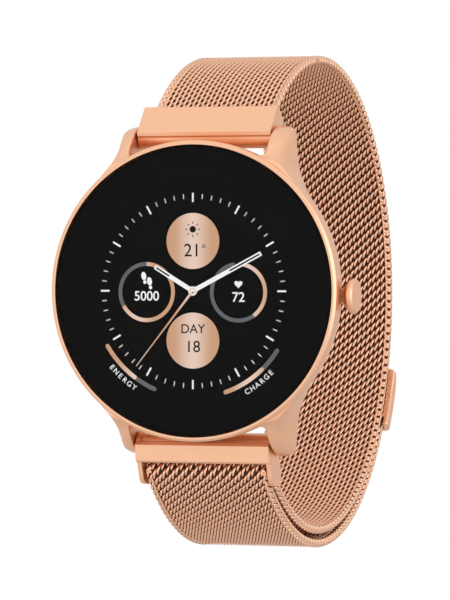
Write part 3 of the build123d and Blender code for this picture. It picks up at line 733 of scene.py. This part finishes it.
def lathe_object(name, profile, material, count=96):
    """A body turned about the crown's axis from (x, r) points, closed at both ends on the axis."""
    turn = np.linspace(0, 2 * np.pi, count, endpoint=False)
    verts = []
    cy, cz = CROWN_AT
    for x, r in profile:
        verts += [on_head(x, cy + r * math.cos(t), cz + r * math.sin(t)) for t in turn]
    faces = ring_faces(len(profile), count)
    faces.append(tuple(range(count - 1, -1, -1)))
    last = (len(profile) - 1) * count
    faces.append(tuple(last + i for i in range(count)))
    return make_object(name, verts, faces, material)


CLASP_IN = 35.35  # radius of the clasp's inner face
CLASP_MID = 36.6
CLASP_FROM, CLASP_TO, TAIL_END = 199.3, 214.8, 212.6  # degrees round the loop from the dial
SLOT_HALF, SLOT_MID, SLOT_HALF_T = 9.25, 0.68, 0.7
PAD_HALF, PAD_TOP = 9.0, 0.4
MAGNETS_AT = (-6.0, 0.0, 6.0)
MAGNET_HALF, MAGNET_TOP = 2.7, 1.7
LINK_ROUND = 0.14  # on the end links' edges


def clasp_along(angle):
    """Distance along the clasp from its upper end."""
    return math.radians(angle - CLASP_FROM) * CLASP_MID


def clasp_field(s, v, x):
    """The clasp: s along the strap, v out from the wrist, x across."""
    length = clasp_along(CLASP_TO)
    thin = 2.42 - 0.05 * np.maximum(4.0 - s, 0) ** 2 - 0.02 * x**2 / 10
    shape = soft_overlap(v - thin, np.abs(x) - 10.0, 0.8)
    shape = soft_overlap(shape, -s, 1.0)
    shape = soft_overlap(shape, s - length, 0.5)
    shape = soft_overlap(shape, -v, 0.25)
    slot = np.maximum(clasp_along(TAIL_END) - s, np.abs(x) - SLOT_HALF)
    slot = np.maximum(slot, np.abs(v - SLOT_MID) - SLOT_HALF_T)
    first, last = clasp_along(CLASP_FROM + 1.0), clasp_along(TAIL_END - 1.0)
    along = np.maximum(first - s, s - last)
    pad = np.maximum(along, np.maximum(np.abs(x) - PAD_HALF, v - PAD_TOP))
    shape = np.maximum(shape, -np.minimum(slot, pad))
    first, last = clasp_along(CLASP_FROM + 2.0), clasp_along(TAIL_END - 2.0)
    along = np.maximum(first - s, s - last)
    for middle in MAGNETS_AT:
        pocket = np.maximum(along, np.maximum(np.abs(x - middle) - MAGNET_HALF, v - MAGNET_TOP))
        shape = np.maximum(shape, -pocket)
    return shape


def clasp_points(points):
    """Clasp millimetres to row-frame metres."""
    a = math.radians(CLASP_FROM) + points[:, 0] / CLASP_MID
    r = CLASP_IN + points[:, 1]
    return np.stack([points[:, 2], -r * np.cos(a), r * np.sin(a)], 1) * MM


# the crown's outline as (x, r): seat, grip, rounded face
CROWN_PROFILE = (
    *((22.7, 0.01), (22.7, 0.8), (21.95, 0.8), (21.95, 1.22), (21.45, 1.22), (21.45, 1.55)),
    *((21.55, 1.7), (21.95, 1.75), (22.02, 2.05), (22.06, 2.25), (22.18, 2.38), (22.34, 2.44)),
    *((22.5, 2.45), (22.72, 2.44), (22.92, 2.36), (23.04, 2.2), (23.1, 2.0), (23.13, 1.7)),
    *((23.16, 1.2), (23.18, 0.6), (23.19, 0.01)),
)


class WATCH_OT_case(bpy.types.Operator):
    """The case with its lugs, the crown, and the finish of bezel and back"""

    bl_idname = "watch.case"
    bl_label = "Case and crown"

    def execute(self, context):
        metal = context.scene.watch_metal
        rose, rough = metal.rose, metal.rough
        satin = metal_material("case_satin", rose, rough, cells=9000.0, spread=0.03)
        bright = metal_material("bezel_satin", rose, rough - 0.04, cells=9000.0, spread=0.02)
        back = metal_material("back_brushed", shade(rose, 0.97), rough + 0.05, (1, 1, 40), 600.0)
        low, high = (-22.3, -24.3, -11.1), (22.3, 24.3, -1.9)
        case = field_object("middle_case", case_field, low, high, 0.2, head_points, satin)
        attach(case, "head")
        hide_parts("mid_case")
        cad_finish("bezel_ring", bright)
        cap = lathe_object("crown_head", CROWN_PROFILE, satin)
        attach(cap, "crown")
        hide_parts("crown_cap")
        cad_finish("back_cover", back)
        return {"FINISHED"}


class WATCH_OT_links(bpy.types.Operator):
    """The clasp, and the finish of the end links and their spring bars"""

    bl_idname = "watch.links"
    bl_label = "Links and clasp"

    def execute(self, context):
        metal = context.scene.watch_metal
        brushed = metal_material("link_brushed", metal.rose, metal.rough + 0.03, (40, 1, 1), 500.0)
        for name in ("upper_link", "lower_link"):
            cad_finish(name, brushed, LINK_ROUND)
        low, high = (-0.4, -0.4, -10.4), (10.4, 2.8, 10.4)
        clasp = field_object("clasp_body", clasp_field, low, high, 0.16, clasp_points, brushed)
        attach(clasp, "tail_c")
        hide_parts("clasp_housing")
        steel = metal_material("pin_steel", metal.steel, 0.25)
        cad_finish("crown_tube", metal_material("collar_bronze", (0.72, 0.47, 0.29), 0.4))
        for name in ("fold_bar", "crown_stem", "crown_clip"):
            cad_finish(name, steel)
        for end in ("upper", "lower"):
            for piece in ("bar_tube", "bar_pin", "release_pin", "bar_spring"):
                cad_finish(f"{end}_{piece}", steel)
        plated = metal_material("magnet_plate", (0.7, 0.7, 0.72), 0.2)
        cad_finish("clasp_magnets", plated)
        cad_finish("clasp_pad", plain_material("clasp_pad_skin", (0.025, 0.024, 0.023), 0.55))
        return {"FINISHED"}


class WATCH_OT_inside(bpy.types.Operator):
    """Finish for the pieces inside the case"""

    bl_idname = "watch.inside"
    bl_label = "Inner pieces"

    def execute(self, context):
        metal = context.scene.watch_metal
        steel = metal_material("inner_steel", metal.steel, 0.3)
        alloy = metal_material("frame_alloy", (0.72, 0.73, 0.74), 0.4, (1, 1, 30), 500.0)
        brass = metal_material("gold_plate", (0.85, 0.62, 0.28), 0.22)
        rubber = plain_material("black_rubber", (0.02, 0.02, 0.02), 0.8)
        mould = plain_material("black_mould", (0.03, 0.03, 0.033), 0.5)
        board = plain_material("board_green", (0.015, 0.09, 0.045), 0.45)
        film = plain_material("amber_film", (0.36, 0.17, 0.04), 0.35)
        cell = plain_material("battery_foil", (0.55, 0.56, 0.58), 0.35, metallic=0.8)
        groups = (
            (steel, ("frame_screws", "processor_shield", "motor_can", "motor_shaft")),
            (steel, ("switch_bracket", "back_screws")),
            (alloy, ("inner_frame",)),
            (brass, ("charging_pads", "motor_rotor")),
            (rubber, ("glass_gasket", "display_pad", "battery_pad", "back_gasket")),
            (rubber, ("crown_o_rings",)),
            (mould, ("board_chips", "display_connector", "switch_body", "light_baffle")),
            (mould, ("display_panel", "switch_button")),
            (board, ("main_board", "sensor_board")),
            (film, ("display_flex",)),
            (cell, ("battery",)),
            (metal_material("magnet_nickel", (0.7, 0.7, 0.72), 0.2), ("charging_magnets",)),
            (plain_material("lamp_face", (0.55, 0.75, 0.45), 0.3), ("sensor_leds",)),
        )
        for material, names in groups:
            for name in names:
                cad_finish(name, material)
        return {"FINISHED"}


# ---- glass ----
def glass_material(name, ior, tint):
    """Clear glass that lets the display through and mirrors a little of the room."""
    material = bpy.data.materials.new(name)
    material.use_nodes = True
    tree = material.node_tree
    tree.nodes.clear()
    link = tree.links.new
    out = tree.nodes.new("ShaderNodeOutputMaterial")
    mix = tree.nodes.new("ShaderNodeMixShader")
    clear = tree.nodes.new("ShaderNodeBsdfTransparent")
    gloss = tree.nodes.new("ShaderNodeBsdfGlossy")
    fresnel = tree.nodes.new("ShaderNodeFresnel")
    set_inputs(fresnel, IOR=ior)
    set_inputs(clear, Color=(*tint, 1))
    noise = object_noise(tree, 300.0, 2.0)
    link(mapped(tree, noise.outputs["Fac"], 0.03, 0.06), gloss.inputs["Roughness"])
    link(fresnel.outputs["Fac"], mix.inputs["Fac"])
    link(clear.outputs["BSDF"], mix.inputs[1])
    link(gloss.outputs["BSDF"], mix.inputs[2])
    link(mix.outputs["Shader"], out.inputs["Surface"])
    return material


COVER_IOR = 1.10
DOME_H = 1.5  # how far the glass rises over its edge
DOME_RINGS = (2, 4, 6, 8, 10, 12, 14, 16, 17.5, 18.6, 19.4, 19.9, 20.2)
EDGE_RINGS = [(20.36, -1.56), (20.46, -1.68), (20.5, -1.85), (20.5, -2.3)]


class WATCH_OT_glass(bpy.types.Operator):
    """The domed glass with its black backing, and the sensor window"""

    bl_idname = "watch.glass"
    bl_label = "Glass"

    def execute(self, context):
        dial = context.scene.watch_dial
        clear = glass_material("cover_clear", COVER_IOR, (0.97, 0.97, 0.97))
        turn = np.linspace(0, 2 * np.pi, 192, endpoint=False)
        dome_r = (GLASS_R**2 + DOME_H**2) / (2 * DOME_H)
        rings = [(0.02, 0.0)]
        for r in DOME_RINGS:
            rings.append((r, -(dome_r - math.sqrt(dome_r**2 - r * r))))
        rings += EDGE_RINGS
        verts = []
        for r, z in rings:
            verts += [on_head(r * math.cos(t), r * math.sin(t), z) for t in turn]
        faces = ring_faces(len(rings), len(turn), flip=True)
        faces.append(tuple(range(len(turn))))
        obj = make_object("glass_dome", verts, faces, clear)
        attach(obj, "head")
        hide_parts("cover_glass")
        backing = plain_material("glass_backing", dial.glass, 0.9, spread=0.05)
        set_inputs(backing.node_tree.nodes["Principled BSDF"], Specular_IOR_Level=0.0)
        verts, faces = flat_mesh([disc_shape(0, 0, GLASS_R - 0.06, 160)], DIAL_Z - 0.1)
        shown = make_object("glass_backing", verts, faces, backing, smooth=False)
        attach(shown, "head")
        sensor = plain_material("sensor_dark", (0.012, 0.012, 0.013), 0.12, spread=0.04)
        cad_finish("sensor_window", sensor)
        return {"FINISHED"}


# ---- dial ----
# lengths on the dial are shares of the glass's radius, g
HOUR_TICK = (0.610, 0.673, 0.0125)  # start, end, width
MINUTE_TICK = (0.634, 0.667, 0.0055)
DISCS_AT = (0.343, -0.340)
LEFT_AT, RIGHT_AT, SIDES_Y = -0.337, 0.330, -0.008
HANDS = ((301, 0.322, 0.20, 0.310), (62.4, 0.557, 0.30, 0.545))  # angle, length, slot
SECONDS_AT = 218.5
LABELS = (("ENERGY", 220.5), ("CHARGE", 142.3))
LETTER_STEP = 3.1  # degrees


def around(r, degrees, cx=0.0, cy=0.0):
    """A place clockwise from 12 o'clock."""
    t = math.radians(degrees)
    return (cx + r * math.sin(t), cy + r * math.cos(t))


def disc_shape(cx, cy, r, count=48):
    """A filled circle as (points, faces)."""
    return [around(r, 360 - 360 * i / count, cx, cy) for i in range(count)], [tuple(range(count))]


def arc_shape(cx, cy, r0, r1, a0, a1, ends=False):
    """Part of a ring from a0 to a1, clockwise."""
    count = max(int(abs(a1 - a0) / 3), 2)
    points, faces = [], []
    for i in range(count + 1):
        a = a0 + (a1 - a0) * i / count
        points += [around(r0, a, cx, cy), around(r1, a, cx, cy)]
    for i in range(count):
        k = 2 * i
        faces.append((k, k + 2, k + 3, k + 1))
    shapes = [(points, faces)]
    if ends:
        for a in (a0, a1):
            mid = around((r0 + r1) / 2, a, cx, cy)
            shapes.append(disc_shape(*mid, abs(r1 - r0) / 2, 24))
    return shapes


def bar_shape(angle, r0, r1, w0, w1=None, cx=0.0, cy=0.0):
    """A straight bar along a ray, w0 wide at r0 and w1 at r1."""
    w1 = w0 if w1 is None else w1
    t = math.radians(angle)
    ray = (math.sin(t), math.cos(t))
    side = (ray[1], -ray[0])
    points = []
    for r, w in ((r0, -w0), (r1, -w1), (r1, w1), (r0, w0)):
        points.append((cx + ray[0] * r + side[0] * w / 2, cy + ray[1] * r + side[1] * w / 2))
    return points, [(0, 3, 2, 1)]


def heart_shape(cx, cy, size):
    """A small heart."""
    points = []
    for i in range(40):
        t = 2 * math.pi * i / 40
        x = 16 * math.sin(t) ** 3
        y = 13 * math.cos(t) - 5 * math.cos(2 * t) - 2 * math.cos(3 * t) - math.cos(4 * t)
        points.append((cx + x * size / 32, cy + y * size / 32))
    return points, [tuple(range(39, -1, -1))]


def oval_shape(cx, cy, rx, ry, lean):
    """A tilted ellipse."""
    c, s = math.cos(math.radians(lean)), math.sin(math.radians(lean))
    points = []
    for i in range(24):
        t = 2 * math.pi * i / 24
        x, y = rx * math.cos(t), ry * math.sin(t)
        points.append((cx + x * c - y * s, cy + x * s + y * c))
    return points, [tuple(range(24))]


def flat_mesh(shapes, z):
    """(verts, faces) on the head at a level, from flat shapes."""
    verts, faces = [], []
    for points, polys in shapes:
        base = len(verts)
        verts += [on_head(x, y, z) for x, y in points]
        faces += [tuple(base + i for i in poly) for poly in polys]
    return verts, faces


def text_shapes(words, size, cx, cy, lean=0.0, bold=0.0):
    """Flat shapes of generic figures or letters, centred."""
    curve = bpy.data.curves.new("figures", "FONT")
    curve.body = words
    curve.size = size
    curve.align_x = "CENTER"
    curve.align_y = "CENTER"
    curve.offset = bold
    obj = bpy.data.objects.new("figures", curve)
    bpy.context.scene.collection.objects.link(obj)
    mesh = obj.evaluated_get(bpy.context.evaluated_depsgraph_get()).to_mesh()
    c, s = math.cos(math.radians(lean)), math.sin(math.radians(lean))
    points = [(cx + v.co.x * c - v.co.y * s, cy + v.co.x * s + v.co.y * c) for v in mesh.vertices]
    faces = [tuple(p.vertices) for p in mesh.polygons]
    bpy.data.objects.remove(obj)
    bpy.data.curves.remove(curve)
    return points, faces


def tick_marks(g):
    """Sixty ticks, longer at each hour."""
    ticks = []
    for i in range(60):
        start, end, width = MINUTE_TICK if i % 5 else HOUR_TICK
        ticks.append(bar_shape(6 * i, start * g, end * g, width * g))
    return ticks


def disc_marks(g):
    """A sun over its figures on the upper disc, and the date on the lower one."""
    top, low = [at * g for at in DISCS_AT]
    sun_y = top + 0.080 * g
    marks = [disc_shape(0, sun_y, 0.023 * g, 24)]
    for i in range(8):
        marks.append(bar_shape(45 * i, 0.037 * g, 0.054 * g, 0.006 * g, cx=0, cy=sun_y))
    marks.append(text_shapes("21", 0.125 * g, -0.004 * g, top - 0.068 * g, bold=0.008))
    marks += arc_shape(0.080 * g, top - 0.036 * g, 0.007 * g, 0.012 * g, 0, 360)
    marks.append(text_shapes("DAY", 0.088 * g, 0, low + 0.078 * g, bold=0.012))
    marks.append(text_shapes("18", 0.112 * g, 0, low - 0.045 * g, bold=0.010))
    return marks


def ring_parts(g):
    """(lit, unlit) parts of the side rings and of the gauges below them."""
    left, right, level = LEFT_AT * g, RIGHT_AT * g, SIDES_Y * g
    r0, r1 = 0.1795 * g, 0.2065 * g
    lit = arc_shape(left, level, r0, r1, 0, 240) + arc_shape(right, level, r0, r1, 2, 145)
    unlit = arc_shape(left, level, r0, r1, 240, 360) + arc_shape(right, level, r0, r1, 145, 352)
    r0, r1 = 0.716 * g, 0.746 * g
    for start, middle, end in ((202.5, 215.5, 238.5), (123.7, 137, 161)):
        unlit += arc_shape(0, 0, r0, r1, start, middle, True)
        lit += arc_shape(0, 0, r0, r1, middle, end, True)
    return lit, unlit


def side_figures(g):
    """Footprints, a heart, the figures under them, and the gauges' labels."""
    left, right, level = LEFT_AT * g, RIGHT_AT * g, SIDES_Y * g
    figures = []
    for side, up in ((-1, 0.020), (1, -0.016)):
        x = left + side * 0.021 * g
        y = level + 0.090 * g + up * g
        figures.append(oval_shape(x, y, 0.018 * g, 0.029 * g, 10))
        figures.append(oval_shape(x + 0.008 * g, y - 0.042 * g, 0.012 * g, 0.013 * g, 10))
    figures.append(heart_shape(right, level + 0.056 * g, 0.058 * g))
    figures.append(text_shapes("5000", 0.092 * g, left, level - 0.030 * g, bold=0.022))
    figures.append(text_shapes("72", 0.094 * g, right, level - 0.036 * g, bold=0.022))
    for word, middle in LABELS:
        for i, letter in enumerate(word):
            a = middle - (i - (len(word) - 1) / 2) * LETTER_STEP
            x, y = around(0.792 * g, a)
            figures.append(text_shapes(letter, 0.052 * g, x, y, 180 - a, 0.010))
    return figures


def hand_parts(g):
    """(hands, the dark slots along them)."""
    hands, slots = [], []
    for angle, length, start, end in HANDS:
        hands.append(bar_shape(angle, 0.0, length * g, 0.031 * g))
        slots.append(bar_shape(angle, start * g, end * g, 0.011 * g))
    return hands, slots


class WATCH_OT_dial(bpy.types.Operator):
    """The picture on the display: ticks, discs, rings, gauges and hands"""

    bl_idname = "watch.dial"
    bl_label = "Dial"

    def execute(self, context):
        dial = context.scene.watch_dial
        glow = dial.glow
        white = lit_material("dial_white", shade(dial.white, 0.97), dial.white, glow)
        rose = sheen_material("dial_rose", dial.rose, dial.sheen, glow)
        grey = lit_material("dial_grey", shade(dial.grey, 0.9), shade(dial.grey, 1.1), glow)
        black = lit_material("dial_black", (0.004, 0.004, 0.004), (0.006, 0.006, 0.006), glow)
        g = GLASS_R
        discs = [disc_shape(0, at * g, 0.192 * g, 96) for at in DISCS_AT]
        lit, unlit = ring_parts(g)
        hands, slots = hand_parts(g)
        sweep = [bar_shape(SECONDS_AT, 0.02 * g, 0.663 * g, 0.017 * g, 0.005 * g)]
        sweep += arc_shape(0, 0, 0.014 * g, 0.024 * g, 0, 360)
        hub = arc_shape(0, 0, 0.014 * g, 0.032 * g, 0, 360)
        layers = (
            ("dial_ticks", tick_marks(g), white, 0.00),
            ("dial_discs", discs, rose, 0.00),
            ("dial_rings", lit, rose, 0.02),
            ("dial_ring_rest", unlit, grey, 0.01),
            ("dial_disc_marks", disc_marks(g), black, 0.02),
            ("dial_figures", side_figures(g), white, 0.01),
            ("dial_hands", hands, white, 0.05),
            ("dial_hand_slots", slots, black, 0.07),
            ("dial_sweep_hand", sweep, rose, 0.08),
            ("dial_hub", hub, white, 0.07),
        )
        for name, shapes, material, lift in layers:
            verts, faces = flat_mesh(shapes, DIAL_Z + lift)
            obj = make_object(name, verts, faces, material, smooth=False)
            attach(obj, "head")
        return {"FINISHED"}


# ---- stage ----
HEIGHT_SPAN = (-0.9, 0.7)  # directions between which the room runs from below to above
DEPTH_SPAN = (-1.0, 0.9)  # and from ahead to behind
AIM_RIGHT = 0.005138  # metres from the glass apex to the middle of the view
AIM_DOWN = 0.001245
# name, place in metres, width and height, watts
LIGHTS = (
    ("light_left", (-0.75, -0.40, -0.10), (0.6, 0.6), 1.5),
    ("light_right", (0.70, -0.50, 0.10), (0.7, 0.8), 2.5),
)


def softbox(name, at, size, power):
    """An area light aimed at the loop's centre."""
    light = bpy.data.lights.new(name, "AREA")
    light.shape = "RECTANGLE"
    light.size, light.size_y = size
    light.energy = power
    obj = bpy.data.objects.new(name, light)
    obj.location = at
    obj.rotation_euler = (-Vector(at)).to_track_quat("-Z", "Y").to_euler()
    bpy.context.scene.collection.objects.link(obj)


class WATCH_OT_stage(bpy.types.Operator):
    """White surroundings, soft lights and the camera"""

    bl_idname = "watch.stage"
    bl_label = "Stage"

    def execute(self, context):
        stage = context.scene.watch_stage
        scene = context.scene
        world = bpy.data.worlds.new("room")
        world.use_nodes = True
        scene.world = world
        tree = world.node_tree
        tree.nodes.clear()
        link = tree.links.new
        out = tree.nodes.new("ShaderNodeOutputWorld")
        mix = tree.nodes.new("ShaderNodeMixShader")
        seen = tree.nodes.new("ShaderNodeBackground")
        set_inputs(seen, Color=(1, 1, 1, 1), Strength=1.0)
        room = tree.nodes.new("ShaderNodeBackground")
        path = tree.nodes.new("ShaderNodeLightPath")
        coords = tree.nodes.new("ShaderNodeTexCoord")
        split = tree.nodes.new("ShaderNodeSeparateXYZ")
        link(coords.outputs["Generated"], split.inputs["Vector"])
        height = mapped(tree, split.outputs["Z"], stage.below, stage.above, *HEIGHT_SPAN)
        depth = mapped(tree, split.outputs["Y"], stage.ahead, stage.behind, *DEPTH_SPAN)
        both = tree.nodes.new("ShaderNodeMath")
        both.operation = "MULTIPLY"
        link(height, both.inputs[0])
        link(depth, both.inputs[1])
        link(both.outputs["Value"], room.inputs["Strength"])
        link(path.outputs["Is Camera Ray"], mix.inputs["Fac"])
        link(room.outputs["Background"], mix.inputs[1])
        link(seen.outputs["Background"], mix.inputs[2])
        link(mix.outputs["Shader"], out.inputs["Surface"])
        for name, at, size, power in LIGHTS:
            softbox(name, at, size, power)
        a, e = stage.yaw, stage.rise
        right = Vector((math.cos(a), math.sin(a), 0))
        back = Vector((math.sin(a) * math.cos(e), -math.cos(a) * math.cos(e), math.sin(e)))
        up = back.cross(right)
        camera = bpy.data.cameras.new("camera")
        camera.sensor_fit = "VERTICAL"
        camera.sensor_height = 24.0
        camera.lens = stage.lens
        camera.clip_start = 0.01
        obj = bpy.data.objects.new("camera", camera)
        aim = Vector(on_head(0, 0, 0)) + right * AIM_RIGHT - up * AIM_DOWN
        matrix = Matrix((right, up, back)).transposed().to_4x4()
        matrix.translation = aim + back * stage.away
        obj.matrix_world = matrix
        scene.collection.objects.link(obj)
        scene.camera = obj
        scene.view_settings.view_transform = "Standard"
        return {"FINISHED"}


# ---- panel and registration ----
PIECES = (WATCH_OT_strap, WATCH_OT_case, WATCH_OT_links, WATCH_OT_inside, WATCH_OT_glass)
STEPS = PIECES + (WATCH_OT_dial, WATCH_OT_stage)
GROUPS = (
    ("watch_strap", WatchStrapSettings),
    ("watch_metal", WatchMetalSettings),
    ("watch_dial", WatchDialSettings),
    ("watch_stage", WatchStageSettings),
)


class WATCH_PT_panel(bpy.types.Panel):
    """Lists the watch's sizes, colours and building steps"""

    bl_idname = "WATCH_PT_panel"
    bl_label = "Smartwatch"
    bl_space_type = "VIEW_3D"
    bl_region_type = "UI"
    bl_category = "Watch"

    def draw(self, context):
        layout = self.layout
        for key, group in GROUPS:
            box = layout.box()
            for name in group.__annotations__:
                box.prop(getattr(context.scene, key), name)
        for step in STEPS:
            layout.operator(step.bl_idname)


def register():
    for key, group in GROUPS:
        bpy.utils.register_class(group)
        setattr(bpy.types.Scene, key, PointerProperty(type=group))
    for step in STEPS:
        bpy.utils.register_class(step)
    bpy.utils.register_class(WATCH_PT_panel)


def unregister():
    bpy.utils.unregister_class(WATCH_PT_panel)
    for step in reversed(STEPS):
        bpy.utils.unregister_class(step)
    for key, group in reversed(GROUPS):
        delattr(bpy.types.Scene, key)
        bpy.utils.unregister_class(group)


def main():
    register()
    bpy.ops.watch.strap()
    bpy.ops.watch.case()
    bpy.ops.watch.links()
    bpy.ops.watch.inside()
    bpy.ops.watch.glass()
    bpy.ops.watch.dial()
    bpy.ops.watch.stage()


if __name__ == "__main__":
    main()
